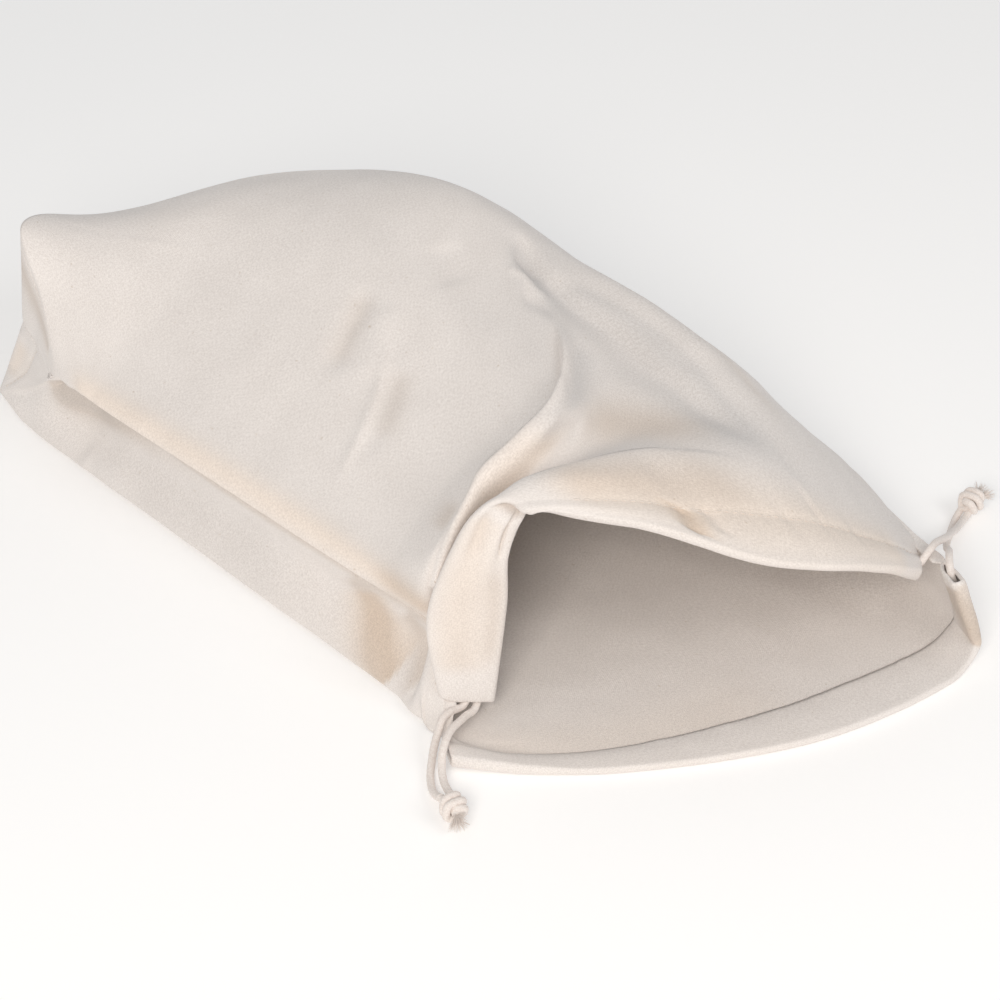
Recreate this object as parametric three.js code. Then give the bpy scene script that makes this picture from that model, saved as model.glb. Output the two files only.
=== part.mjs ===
// A drawstring bread bag of undyed cotton with a boxed base, lying open on its back panel.
// Millimetres, +Z up. X runs from the boxed base (-X) to the mouth (+X); the near side is -Y.
import * as THREE from "three";

// The cloth. Distances "along" and "across" are measured on the cut panel.
const clothThickness = 1.4;
const clothColor = 0xe6dccb;
const seamGap = 0.5;              // each panel ends this far from its side seam and base seam
const casing = {
  width: 20, channel: 5.9, stitchGap: 0.5, turnSteps: 4, returnRows: [0.3, 0.65, 0.85, 1],
};
const hemSmoothing = 14;          // the hem's own turn follows the panel averaged over this length

// Stations across a panel, from side seam A (near) to side seam B (far).
const frontStations = {
  seamA: 0, flank: 37, gussetEdge: 75, brow: 98, slope: 130, crest: 185, crease: 212, shoulder: 240,
  seamB: 310,
};
const backStations = {
  seamA: 0, edge: 20, foot: 42, nearFloor: 75, midFloor: 155, farFloor: 235, farFoot: 268, seamB: 310,
};

// One row for each section of the front panel, from the base seam to the mouth edge. A section
// names only the stations that it needs, and runs smoothly past the others. A creased section is a
// sharp fold: the cloth meets it at its own slope from each side.
const frontSections = [
  { name: "base seam", along: 0, seamA: [-181, -117, 43], flank: [-203, -108, 46],
    gussetEdge: [-224, -98, 49], slope: [-235, -45, 44], crest: [-236, 8, 34],
    shoulder: [-229, 52, 27], seamB: [-205, 80, 24] },
  { name: "base edge", along: 68, creased: true, seamA: [-175, -118, 46], flank: [-196, -107, 76],
    gussetEdge: [-219, -97, 101], slope: [-227, -46, 79], crest: [-229, 4, 56],
    shoulder: [-224, 49, 42], seamB: [-199, 83, 28] },
  { name: "base swell", along: 104, seamA: [-158, -118, 45], flank: [-172, -98, 70],
    gussetEdge: [-186, -75, 90.5], slope: [-190, -33, 96], crest: [-192, 18, 86],
    crease: [-190, 40, 75], shoulder: [-188, 61, 59], seamB: [-170, 89, 33] },
  { name: "first section", along: 145, seamA: [-140, -118, 44], flank: [-142, -91, 64],
    gussetEdge: [-144, -57, 86], slope: [-145, -10, 108], crest: [-146, 38, 102],
    crease: [-146, 57, 90], shoulder: [-146, 74, 75], seamB: [-140, 94, 36] },
  { name: "crown section", along: 215, seamA: [-70, -118, 43], flank: [-70, -89, 63],
    gussetEdge: [-70, -54, 85], slope: [-72, -4, 113], crest: [-76, 46, 119],
    crease: [-76, 68, 103], shoulder: [-76, 85, 83], seamB: [-70, 104, 40] },
  { name: "third section", along: 285, seamA: [0, -118, 42], flank: [0, -91, 61],
    gussetEdge: [1, -57, 81], slope: [-2, -8, 103], crest: [-18, 42, 104], crease: [-12, 65, 96],
    shoulder: [-8, 83, 78], seamB: [0, 107, 40] },
  { name: "before ridge", along: 325, seamA: [40, -118, 42], flank: [40, -99, 59],
    gussetEdge: [42, -69, 79], slope: [43, -23, 99], crest: [20, 34, 96], crease: [32, 60, 94],
    shoulder: [38, 82, 77], seamB: [45, 107, 39] },
  { name: "ridge", along: 352, seamA: [63, -117, 41], flank: [65, -110, 64],
    gussetEdge: [65, -82, 86], brow: [68, -61, 95], slope: [69, -38, 102], crest: [45, 26, 91],
    crease: [62, 52, 91], shoulder: [72, 77, 75], seamB: [78, 106, 37] },
  { name: "ridge foot", along: 370, seamA: [69.6, -115.7, 38.6], flank: [68, -108, 52],
    gussetEdge: [67.4, -76.6, 67], brow: [74, -54.5, 89], slope: [70, -26, 94],
    crest: [62, 17, 89.5], crease: [76, 45, 88], shoulder: [88, 70, 73],
    seamB: [97, 104.4, 35.4] },
  { name: "cuff back", along: 394, seamA: [76.6, -116.4, 32], flank: [70, -110, 50],
    gussetEdge: [69.5, -90.5, 62], brow: [77.4, -70.6, 81], slope: [83, -38, 89],
    crest: [89, 2, 88], crease: [99, 32, 84.5], shoulder: [113, 59, 71], seamB: [127, 99, 33.2] },
  { name: "cuff crest", along: 425, seamA: [86.7, -127.6, 14.6], flank: [76, -122, 47],
    gussetEdge: [77, -106, 81], brow: [84, -92, 98], slope: [99, -63, 102], crest: [120, -16, 96],
    crease: [136, 13, 87], shoulder: [151, 36, 70], seamB: [173, 82, 31] },
  { name: "mouth edge", along: 468, seamA: [102, -113, 10], flank: [95, -98, 48],
    gussetEdge: [92, -92, 78], brow: [99, -85, 95], slope: [130, -59, 93], crest: [173, -17, 72],
    crease: [185, 4, 64], shoulder: [191, 26, 54], seamB: [197, 61, 35] },
];

// The same for the back panel, which lies on the surface.
const floorLevel = clothThickness / 2;
const backSections = [
  { name: "base seam", along: 0, seamA: [-181, -117, 41], foot: [-203, -108, 44],
    nearFloor: [-224, -98, 47], midFloor: [-235, -45, 42], farFloor: [-234, 30, 28],
    farFoot: [-226, 60, 24], seamB: [-205, 80, 22] },
  { name: "base foot", along: 64, creased: true, seamA: [-178, -117, 42.4], foot: [-208, -113, 19],
    nearFloor: [-238, -108, 1], midFloor: [-238, -40, 0], farFloor: [-236, 20, 0],
    farFoot: [-228, 62, 3], seamB: [-201, 83, 23] },
  { name: "base floor", along: 77, seamA: [-171, -118, 42.6], edge: [-183, -115, 27],
    foot: [-199, -118, 4], nearFloor: [-222, -109, 0], midFloor: [-228, -40, 0],
    farFloor: [-226, 22, 0], farFoot: [-218, 68, 2], seamB: [-195, 86, 25.5] },
  { name: "under corner", along: 104, seamA: [-158, -118, 42.6], edge: [-162, -109, 26],
    foot: [-171, -120.5, 3], nearFloor: [-191, -105, 0], midFloor: [-198, -38, 0],
    farFloor: [-196, 28, 0], farFoot: [-190, 75, 4], seamB: [-170, 90, 30.6] },
  { name: "first section", along: 145, seamA: [-140, -118, 41.8], edge: [-141, -111, 24],
    foot: [-143, -122, 3], nearFloor: [-148, -96, 0], midFloor: [-150, -30, 0],
    farFloor: [-150, 40, 0], farFoot: [-148, 86, 6], seamB: [-140, 96, 33.8] },
  { name: "second section", along: 285, seamA: [0, -118, 39.8], edge: [0, -113, 22],
    foot: [0, -128, 3], nearFloor: [0, -104, 0], midFloor: [0, -30, 0], farFloor: [0, 45, 0],
    farFoot: [0, 98, 7], seamB: [0, 108, 37.6] },
  { name: "third section", along: 350, seamA: [62, -117, 38.8], edge: [61, -114, 22],
    foot: [62, -131, 3], nearFloor: [66, -108, 0], midFloor: [74, -34, 0], farFloor: [78, 42, 0],
    farFoot: [80, 97, 7], seamB: [78, 107, 34.8] },
  { name: "gusset end", along: 385, seamA: [75, -116, 32], foot: [80, -134, 2],
    nearFloor: [92, -104, 0], midFloor: [108, -34, 0], farFloor: [120, 42, 0],
    farFoot: [124, 90, 7], seamB: [112, 101, 31.6] },
  { name: "flap", along: 420, seamA: [88, -127, 12], edge: [87, -136, 1], foot: [100, -123, 0],
    nearFloor: [122, -94, 0], midFloor: [152, -22, 0], farFloor: [174, 48, 0],
    farFoot: [182, 80, 8], seamB: [174, 85, 28] },
  { name: "casing start", along: 452, seamA: [99, -138, 2], foot: [120, -124, 0],
    nearFloor: [144, -98, 0], midFloor: [180, -26, 0], farFloor: [202, 46, 0],
    farFoot: [206, 73, 9], seamB: [196, 76, 32] },
  { name: "mouth edge", along: 478, seamA: [111, -146, 1], foot: [138, -125, 0],
    nearFloor: [163, -100, 0], midFloor: [210, -30, 0], farFloor: [230, 40, 0],
    farFoot: [229, 64, 10], seamB: [217, 64, 38] },
];

const gridStep = { along: 14.2, across: 13 };

// The two drawstring ends at each side seam. Each row is a point of the route.
const cord = { diameter: 3.4, sides: 8, step: 5.5 };
const cordRoutes = {
  cord_near_a: [[94.6, -114.2, 16], [95.8, -116.3, 10], [95.9, -119.8, 8], [94.8, -124.5, 8.6],
    [94.2, -129.5, 10], [95.4, -134.8, 10.4], [98, -140, 8.4], [101.2, -145.7, 5.6],
    [105.4, -151.4, 3.2], [110.1, -156.9, 2], [116.1, -162, 2.6], [121.2, -164.9, 4.4],
    [125.4, -165.6, 6.2]],
  cord_near_b: [[97.5, -111.9, 12], [98.6, -113.6, 8.8], [100.2, -118, 6.8], [100.2, -124, 8],
    [101.4, -130.5, 10], [103.4, -137, 11.4], [106.3, -143.6, 11.4], [109.2, -148.6, 9.4],
    [112.6, -152.6, 6.2], [117.2, -156.4, 4.6], [122.3, -159.4, 5], [126.9, -161.9, 6.6]],
  cord_far_a: [[190.8, 57.7, 35.6], [192.5, 62.3, 32.4], [193.3, 66, 30.6], [193.2, 71, 31.6],
    [191.5, 78, 34.2], [188.5, 88, 30.2], [184.5, 98, 23.7], [179, 109, 16.2], [174.5, 120, 9.5],
    [170.5, 129.5, 5], [168.2, 137.5, 3.6], [167.2, 144.7, 6.9]],
  cord_far_b: [[212, 65, 30], [209.8, 65.1, 34.3], [206.8, 66.8, 38.2], [202.6, 72, 38.6],
    [197.3, 80, 33], [190.5, 90, 24], [184, 99, 16.5], [177.5, 109, 9.5], [171.5, 120, 4.6],
    [166.9, 129, 2.1], [163.8, 137, 2.4], [163.3, 145, 6.9]],
};

// Each pair ends in an overhand knot with a frayed tail: places along its axis, and the radius there.
const knotProfile = [
  { name: "neck", at: 0, radius: 3.2 },
  { name: "shoulder", at: 2.5, radius: 6 },
  { name: "middle", at: 6.5, radius: 6.8 },
  { name: "lower shoulder", at: 10.5, radius: 5.6 },
  { name: "waist", at: 12.5, radius: 3.4 },
  { name: "fray", at: 17, radius: 4.4 },
  { name: "tips", at: 21, radius: 3.6 },
];
const knots = {
  knot_near: { start: [127.7, -164, 8], towards: [18, -7, -3.4] },
  knot_far: { start: [165.6, 146.6, 8], towards: [3, 19, -3.4] },
};
const knotSides = 9;
const cordColor = 0xeae2d3;

// ---- curves through the tables -------------------------------------------------------------

// The slope of a smooth curve at a knot, from the slopes on both sides. It is kept low beside a
// level stretch, so that cloth lying on the surface never dips below it.
function slopeAtKnot(before, after) {
  const average = (before + after) / 2;
  if (before * after < 0) return average;
  const limit = 2.6 * Math.min(Math.abs(before), Math.abs(after));
  return Math.sign(average) * Math.min(Math.abs(average), limit);
}

// Smooth curve through points at uneven knots, with a corner at each creased knot.
function pointOnCurve(knots, points, at, creased = []) {
  const last = knots.length - 1;
  let k = 0;
  while (k < last - 1 && at > knots[k + 1]) k += 1;
  const span = knots[k + 1] - knots[k];
  const u = (at - knots[k]) / span;
  const chord = (i, axis) => {
    const rise = points[i + 1].getComponent(axis) - points[i].getComponent(axis);
    return rise / (knots[i + 1] - knots[i]);
  };
  const slope = (i, axis) => {
    if (i === 0 || i === last || creased[i]) return chord(k, axis);
    return slopeAtKnot(chord(i - 1, axis), chord(i, axis));
  };
  const u2 = u * u;
  const u3 = u2 * u;
  const point = new THREE.Vector3();
  for (let axis = 0; axis < 3; axis += 1) {
    point.setComponent(axis, points[k].getComponent(axis) * (2 * u3 - 3 * u2 + 1)
      + slope(k, axis) * (u3 - 2 * u2 + u) * span
      + points[k + 1].getComponent(axis) * (3 * u2 - 2 * u3)
      + slope(k + 1, axis) * (u3 - u2) * span);
  }
  return point;
}

// A panel as a function of the place on the flat cloth: (along, across) to a point in space.
function panelSurface(sections, stations, lowest) {
  const alongKnots = sections.map((section) => section.along);
  const creased = sections.map((section) => section.creased === true);
  const rows = sections.map((section) => {
    const names = Object.keys(stations).filter((name) => name in section);
    return {
      knots: names.map((name) => stations[name]),
      points: names.map((name) => new THREE.Vector3(...section[name])),
    };
  });
  return (along, across) => {
    const column = rows.map(({ knots, points }) => pointOnCurve(knots, points, across));
    const point = pointOnCurve(alongKnots, column, along, creased);
    point.z = Math.max(point.z, lowest);
    return point;
  };
}

function surfaceNormal(surface, along, across, step = 1.5) {
  const alongDirection = surface(along + step, across).sub(surface(along - step, across));
  const acrossDirection = surface(along, across + step).sub(surface(along, across - step));
  return alongDirection.cross(acrossDirection).normalize();
}

// ---- sheets --------------------------------------------------------------------------------

// A closed solid from a grid of middle points and outward directions.
function sheetSolid(grid, thickness) {
  const rowCount = grid.length;
  const columnCount = grid[0].length;
  const positions = [];
  for (const sign of [1, -1]) {
    for (const row of grid) {
      for (const { point, normal } of row) {
        positions.push(...point.clone().addScaledVector(normal, sign * thickness / 2).toArray());
      }
    }
  }
  const index = [];
  const at = (layer, i, j) => (layer * rowCount + i) * columnCount + j;
  const quad = (a, b, c, d) => index.push(a, b, c, a, c, d);
  for (let i = 0; i < rowCount - 1; i += 1) {
    for (let j = 0; j < columnCount - 1; j += 1) {
      quad(at(0, i, j), at(0, i + 1, j), at(0, i + 1, j + 1), at(0, i, j + 1));
      quad(at(1, i, j), at(1, i, j + 1), at(1, i + 1, j + 1), at(1, i + 1, j));
    }
  }
  const lastRow = rowCount - 1;
  const lastColumn = columnCount - 1;
  for (let j = 0; j < lastColumn; j += 1) {
    quad(at(0, 0, j), at(0, 0, j + 1), at(1, 0, j + 1), at(1, 0, j));
    quad(at(0, lastRow, j + 1), at(0, lastRow, j), at(1, lastRow, j), at(1, lastRow, j + 1));
  }
  for (let i = 0; i < lastRow; i += 1) {
    quad(at(0, i + 1, 0), at(0, i, 0), at(1, i, 0), at(1, i + 1, 0));
    quad(at(0, i, lastColumn), at(0, i + 1, lastColumn), at(1, i + 1, lastColumn), at(1, i, lastColumn));
  }
  const geometry = new THREE.BufferGeometry();
  geometry.setAttribute("position", new THREE.Float32BufferAttribute(positions, 3));
  geometry.setIndex(index);
  geometry.computeVertexNormals();
  return geometry;
}

// Places along an axis of the cloth: every knot, and even steps of about this length between them.
function placesBetween(knotList, step) {
  const places = [];
  for (let k = 0; k < knotList.length - 1; k += 1) {
    const span = knotList[k + 1] - knotList[k];
    const count = Math.max(1, Math.round(span / step));
    for (let i = 0; i < count; i += 1) places.push(knotList[k] + span * i / count);
  }
  places.push(knotList.at(-1));
  return places;
}

// The panel out to its mouth edge, then the hem turned inwards over the drawstring channel.
// outward is +1 where along x across points out of the bag, and -1 where it points in.
function panelGrid(sections, stations, lowest, outward) {
  const surface = panelSurface(sections, stations, lowest);
  const edgeAlong = sections.at(-1).along;
  const acrossPlaces = placesBetween(Object.values(stations), gridStep.across);
  acrossPlaces[0] += seamGap;
  acrossPlaces[acrossPlaces.length - 1] -= seamGap;
  const alongPlaces = placesBetween(sections.map((section) => section.along), gridStep.along);
  alongPlaces[0] += seamGap;
  const grid = alongPlaces.map((along) => acrossPlaces.map((across) => ({
    point: surface(along, across),
    normal: surfaceNormal(surface, along, across),
  })));
  const radius = casing.channel / 2;
  for (let turn = 1; turn <= casing.turnSteps; turn += 1) {
    const angle = Math.PI * turn / casing.turnSteps;
    grid.push(acrossPlaces.map((across) => {
      const edge = surface(edgeAlong, across);
      const outwardNormal = surfaceNormal(surface, edgeAlong, across, hemSmoothing)
        .multiplyScalar(outward);
      const forward = edge.clone().sub(surface(edgeAlong - 2, across)).normalize();
      const radial = outwardNormal.clone().multiplyScalar(Math.cos(angle))
        .addScaledVector(forward, Math.sin(angle));
      const point = edge.addScaledVector(outwardNormal, -radius).addScaledVector(radial, radius);
      point.z = Math.max(point.z, lowest);
      return { point, normal: radial.multiplyScalar(outward) };
    }));
  }
  for (const back of casing.returnRows) {
    const along = edgeAlong - back * casing.width;
    const closing = back ** 4;
    const depth = casing.channel * (1 - closing) + (clothThickness + casing.stitchGap) * closing;
    grid.push(acrossPlaces.map((across) => {
      const outwardNormal = surfaceNormal(surface, along, across, hemSmoothing).multiplyScalar(outward);
      const point = surface(along, across).addScaledVector(outwardNormal, -depth);
      return { point, normal: outwardNormal.multiplyScalar(-outward) };
    }));
  }
  return grid;
}

// ---- cords and knots -----------------------------------------------------------------------

function cordGeometry(route) {
  const path = new THREE.CatmullRomCurve3(route.map((point) => new THREE.Vector3(...point)));
  const section = new THREE.Shape();
  for (let side = 0; side < cord.sides; side += 1) {
    const angle = 2 * Math.PI * side / cord.sides;
    const x = Math.cos(angle) * cord.diameter / 2;
    const y = Math.sin(angle) * cord.diameter / 2;
    if (side === 0) section.moveTo(x, y);
    else section.lineTo(x, y);
  }
  section.closePath();
  const steps = Math.round(path.getLength() / cord.step);
  return new THREE.ExtrudeGeometry(section, { steps, extrudePath: path, bevelEnabled: false });
}

function knotGeometry({ start, towards }) {
  const profile = knotProfile.map(({ at, radius }) => new THREE.Vector2(radius, at));
  const tip = new THREE.Vector2(0, knotProfile.at(-1).at);
  const closedProfile = [new THREE.Vector2(0, 0), ...profile, tip];
  const geometry = new THREE.LatheGeometry(closedProfile, knotSides);
  const axis = new THREE.Vector3(...towards).normalize();
  geometry.applyQuaternion(new THREE.Quaternion().setFromUnitVectors(new THREE.Vector3(0, 1, 0), axis));
  return geometry.translate(...start);
}

// ---- the bag -------------------------------------------------------------------------------

function cotton(color) {
  return new THREE.MeshStandardMaterial({ color, roughness: 0.95, metalness: 0 });
}

const bag = new THREE.Group();

function addPiece(name, geometry, material) {
  const piece = new THREE.Mesh(geometry, material);
  piece.name = name;
  bag.add(piece);
}

const frontGrid = panelGrid(frontSections, frontStations, -Infinity, 1);
const backGrid = panelGrid(backSections, backStations, floorLevel, -1);
addPiece("front_panel", sheetSolid(frontGrid, clothThickness), cotton(clothColor));
addPiece("back_panel", sheetSolid(backGrid, clothThickness), cotton(clothColor));
for (const [name, route] of Object.entries(cordRoutes)) {
  addPiece(name, cordGeometry(route), cotton(cordColor));
}
for (const [name, knot] of Object.entries(knots)) {
  addPiece(name, knotGeometry(knot), cotton(cordColor));
}

// The origin is the middle of the bag's own footprint, on the surface. The cord ends don't count.
const footprint = new THREE.Box3();
for (const name of ["front_panel", "back_panel"]) footprint.expandByObject(bag.getObjectByName(name));
const middle = footprint.getCenter(new THREE.Vector3());
bag.position.set(-middle.x, -middle.y, -footprint.min.z);

export default bag;
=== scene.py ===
import math
import random

import bmesh
import bpy
import numpy as np
from mathutils import Matrix, Vector, noise


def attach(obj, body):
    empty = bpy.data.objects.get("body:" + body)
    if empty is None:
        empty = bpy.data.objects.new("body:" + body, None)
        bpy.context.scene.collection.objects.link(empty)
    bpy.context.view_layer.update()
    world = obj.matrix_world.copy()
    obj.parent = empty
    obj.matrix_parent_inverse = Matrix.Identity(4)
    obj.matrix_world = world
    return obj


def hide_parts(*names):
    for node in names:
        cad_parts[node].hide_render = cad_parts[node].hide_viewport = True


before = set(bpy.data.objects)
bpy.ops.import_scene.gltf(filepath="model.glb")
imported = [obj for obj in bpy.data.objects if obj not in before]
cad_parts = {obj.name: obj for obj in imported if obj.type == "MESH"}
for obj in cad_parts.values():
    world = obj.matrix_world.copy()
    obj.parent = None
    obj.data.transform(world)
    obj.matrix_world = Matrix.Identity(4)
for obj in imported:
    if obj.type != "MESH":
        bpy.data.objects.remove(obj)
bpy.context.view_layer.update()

mm = 0.001
# the tables below are in millimetres, in the bag's own axes; this takes them to the frame's origin
bagShift = Vector((2.302, 19.477, 0.0))


def toFrame(point):
    return (Vector(point) + bagShift) * mm


print("camera and light")

cameraSettings = dict(place=(708.4, -740.0, 800.4), target=(0, 0, 0), lens=99.5, sensor=36)
cameraData = bpy.data.cameras.new("mainCamera")
cameraData.lens = cameraSettings["lens"]
cameraData.sensor_width = cameraSettings["sensor"]
cameraData.clip_end = 20
cameraObject = bpy.data.objects.new("mainCamera", cameraData)
bpy.context.scene.collection.objects.link(cameraObject)
cameraObject.location = toFrame(cameraSettings["place"])
lookAlong = toFrame(cameraSettings["target"]) - cameraObject.location
cameraObject.rotation_euler = lookAlong.to_track_quat("-Z", "Y").to_euler()
bpy.context.scene.camera = cameraObject

# a soft box beside the camera, a little to its right, and a weaker one further round to the right
lamps = [
    dict(name="keyBox", place=(0.82, -1.28, 1.08), size=0.7, watts=14, color=(1.0, 0.945, 0.885)),
    dict(name="rightBox", place=(1.5, 0.25, 1.3), size=0.9, watts=7, color=(1.0, 0.97, 0.94)),
]
for lamp in lamps:
    lampData = bpy.data.lights.new(lamp["name"], "AREA")
    lampData.shape = "SQUARE"
    lampData.size = lamp["size"]
    lampData.energy = lamp["watts"]
    lampData.color = lamp["color"]
    lampObject = bpy.data.objects.new(lamp["name"], lampData)
    bpy.context.scene.collection.objects.link(lampObject)
    lampObject.location = lamp["place"]
    aim = Vector((0, 0, 0.05)) - lampObject.location
    lampObject.rotation_euler = aim.to_track_quat("-Z", "Y").to_euler()

studioWorld = bpy.data.worlds.new("studio")
bpy.context.scene.world = studioWorld
studioWorld.use_nodes = True
worldShader = studioWorld.node_tree.nodes["Background"]
worldLight = dict(color=(0.97, 0.985, 1.0, 1.0), strength=0.51)
worldShader.inputs["Color"].default_value = worldLight["color"]
worldShader.inputs["Strength"].default_value = worldLight["strength"]
bpy.context.scene.view_settings.view_transform = "Standard"


def newObject(name, mesh):
    piece = bpy.data.objects.new(name, mesh)
    bpy.context.scene.collection.objects.link(piece)
    return piece


def meshFromBmesh(name, bm, smooth=True):
    mesh = bpy.data.meshes.new(name)
    bm.to_mesh(mesh)
    bm.free()
    for polygon in mesh.polygons:
        polygon.use_smooth = smooth
    return newObject(name, mesh)


floorLook = dict(reach=4, height=-0.0004, color=(0.93, 0.925, 0.92, 1), roughness=0.9,
                 glowColor=(1.0, 0.99, 0.98, 1), glow=0.16)
floorMesh = bmesh.new()
bmesh.ops.create_grid(floorMesh, x_segments=1, y_segments=1, size=floorLook["reach"])
floorObject = meshFromBmesh("studioFloor", floorMesh, smooth=False)
floorObject.location.z = floorLook["height"]
floorMaterial = bpy.data.materials.new("paleFloor")
floorMaterial.use_nodes = True
floorShader = floorMaterial.node_tree.nodes["Principled BSDF"]
floorShader.inputs["Base Color"].default_value = floorLook["color"]
floorShader.inputs["Roughness"].default_value = floorLook["roughness"]
floorShader.inputs["Emission Color"].default_value = floorLook["glowColor"]
floorShader.inputs["Emission Strength"].default_value = floorLook["glow"]
floorObject.data.materials.append(floorMaterial)

print("materials")


def groupWith(name, inputs, outputs):
    tree = bpy.data.node_groups.new(name, "ShaderNodeTree")
    for label, kind, value in inputs:
        socket = tree.interface.new_socket(label, in_out="INPUT", socket_type=kind)
        if value is not None:
            socket.default_value = value
    for label, kind in outputs:
        tree.interface.new_socket(label, in_out="OUTPUT", socket_type=kind)
    return tree, tree.nodes.new("NodeGroupInput"), tree.nodes.new("NodeGroupOutput")


def mathNode(tree, operation, a, b=None, clamp=False):
    node = tree.nodes.new("ShaderNodeMath")
    node.operation = operation
    node.use_clamp = clamp
    for index, value in enumerate((a, b)):
        if value is None:
            continue
        if isinstance(value, (int, float)):
            node.inputs[index].default_value = value
        else:
            tree.links.new(value, node.inputs[index])
    return node.outputs[0]


def noiseTexture(tree, vector, scale, detail):
    texture = tree.nodes.new("ShaderNodeTexNoise")
    texture.inputs["Scale"].default_value = scale
    texture.inputs["Detail"].default_value = detail
    tree.links.new(vector, texture.inputs["Vector"])
    return texture.outputs["Fac"]


def stretchedNoise(tree, vector, stretch):
    mapping = tree.nodes.new("ShaderNodeMapping")
    mapping.inputs["Scale"].default_value = stretch
    tree.links.new(vector, mapping.inputs["Vector"])
    return noiseTexture(tree, mapping.outputs[0], 1, 2)


def ramp(tree, value, low, high):
    node = tree.nodes.new("ShaderNodeMapRange")
    node.inputs["From Min"].default_value = low
    node.inputs["From Max"].default_value = high
    tree.links.new(value, node.inputs["Value"])
    return node.outputs["Result"]


# plain weave, on the cut cloth in metres: thread pitch about 0.5 mm, and slubs long one way and short
# the other
weaveSizes = dict(threads=2000.0, wanderScale=60, wander=0.0012, crossHeight=0.25, warpSlubs=(2500, 720, 1),
                  weftSlubs=(660, 2500, 1), flecks=(420, 420, 1), fleckRange=(0.70, 0.78))
weaveTree, weaveIn, weaveOut = groupWith(
    "plainWeave",
    [("Vector", "NodeSocketVector", None), ("Threads per metre", "NodeSocketFloat", weaveSizes["threads"])],
    [("Height", "NodeSocketFloat"), ("Thread shade", "NodeSocketFloat"), ("Flecks", "NodeSocketFloat")],
)
weavePlace = weaveIn.outputs["Vector"]
split = weaveTree.nodes.new("ShaderNodeSeparateXYZ")
weaveTree.links.new(weavePlace, split.inputs[0])
drift = noiseTexture(weaveTree, weavePlace, weaveSizes["wanderScale"], 1)
wander = mathNode(weaveTree, "MULTIPLY", drift, weaveSizes["wander"])
waves = []
for axis in (0, 1):
    moved = mathNode(weaveTree, "ADD", split.outputs[axis], wander)
    turns = mathNode(weaveTree, "MULTIPLY", moved, weaveIn.outputs["Threads per metre"])
    waves.append(mathNode(weaveTree, "SINE", mathNode(weaveTree, "MULTIPLY", turns, math.pi)))
cross = mathNode(weaveTree, "MULTIPLY", waves[0], waves[1])
slubs = mathNode(weaveTree, "ADD", stretchedNoise(weaveTree, weavePlace, weaveSizes["warpSlubs"]),
                 stretchedNoise(weaveTree, weavePlace, weaveSizes["weftSlubs"]))
threadHeight = mathNode(weaveTree, "MULTIPLY", cross, weaveSizes["crossHeight"])
weaveTree.links.new(mathNode(weaveTree, "ADD", threadHeight, slubs), weaveOut.inputs["Height"])
weaveTree.links.new(mathNode(weaveTree, "MULTIPLY", slubs, 0.5), weaveOut.inputs["Thread shade"])
speck = stretchedNoise(weaveTree, weavePlace, weaveSizes["flecks"])
weaveTree.links.new(ramp(weaveTree, speck, *weaveSizes["fleckRange"]), weaveOut.inputs["Flecks"])


# sockets 0, 6 and 7 of a colour Mix node are its factor and its two colours, and output 2 is the mix
def mixColours(tree, factor, first, second, blend="MIX"):
    node = tree.nodes.new("ShaderNodeMix")
    node.data_type = "RGBA"
    node.blend_type = blend
    tree.links.new(factor, node.inputs[0])
    for index, colour in ((6, first), (7, second)):
        if isinstance(colour, tuple):
            node.inputs[index].default_value = (*colour, 1)
        else:
            tree.links.new(colour, node.inputs[index])
    return node.outputs[2]


# shares are how far each pattern goes from the cream towards its own tone
clothLook = dict(threadRange=(0.42, 0.58), threadShare=0.85, cloudScale=48, cloudRange=(0.3, 0.75),
                 cloudShare=0.28, fleckShare=0.5, roughRange=(-0.6, 1.1), sheen=0.18, sheenRoughness=0.6,
                 specular=0.15, reliefDepth=0.0003)
clothFinishes = dict(
    # the bag cotton's tints are painted light: warmth of bounced light, shade, cooler shade in creases, and
    # highlights
    bagCotton=dict(cream=(0.90, 0.845, 0.805), shadeTone=(0.74, 0.685, 0.645), fleckTone=(0.50, 0.40, 0.29),
                   relief=0.35, paintedLightTints=dict(paintedBounceWarmth=(1.0, 0.93, 0.85), shade=(0.84, 0.80, 0.76),
                                           paintedCoolShade=(0.87, 0.88, 0.89), light=(1.12, 1.11, 1.10))),
    cordCotton=dict(cream=(0.88, 0.82, 0.775), shadeTone=(0.77, 0.69, 0.64), fleckTone=(0.62, 0.52, 0.44),
                    relief=0.2, paintedLightTints={}),
    sewingThread=dict(cream=(0.84, 0.77, 0.70), shadeTone=(0.72, 0.64, 0.57), fleckTone=(0.6, 0.5, 0.4),
                      relief=0.1, paintedLightTints={}),
)


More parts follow.
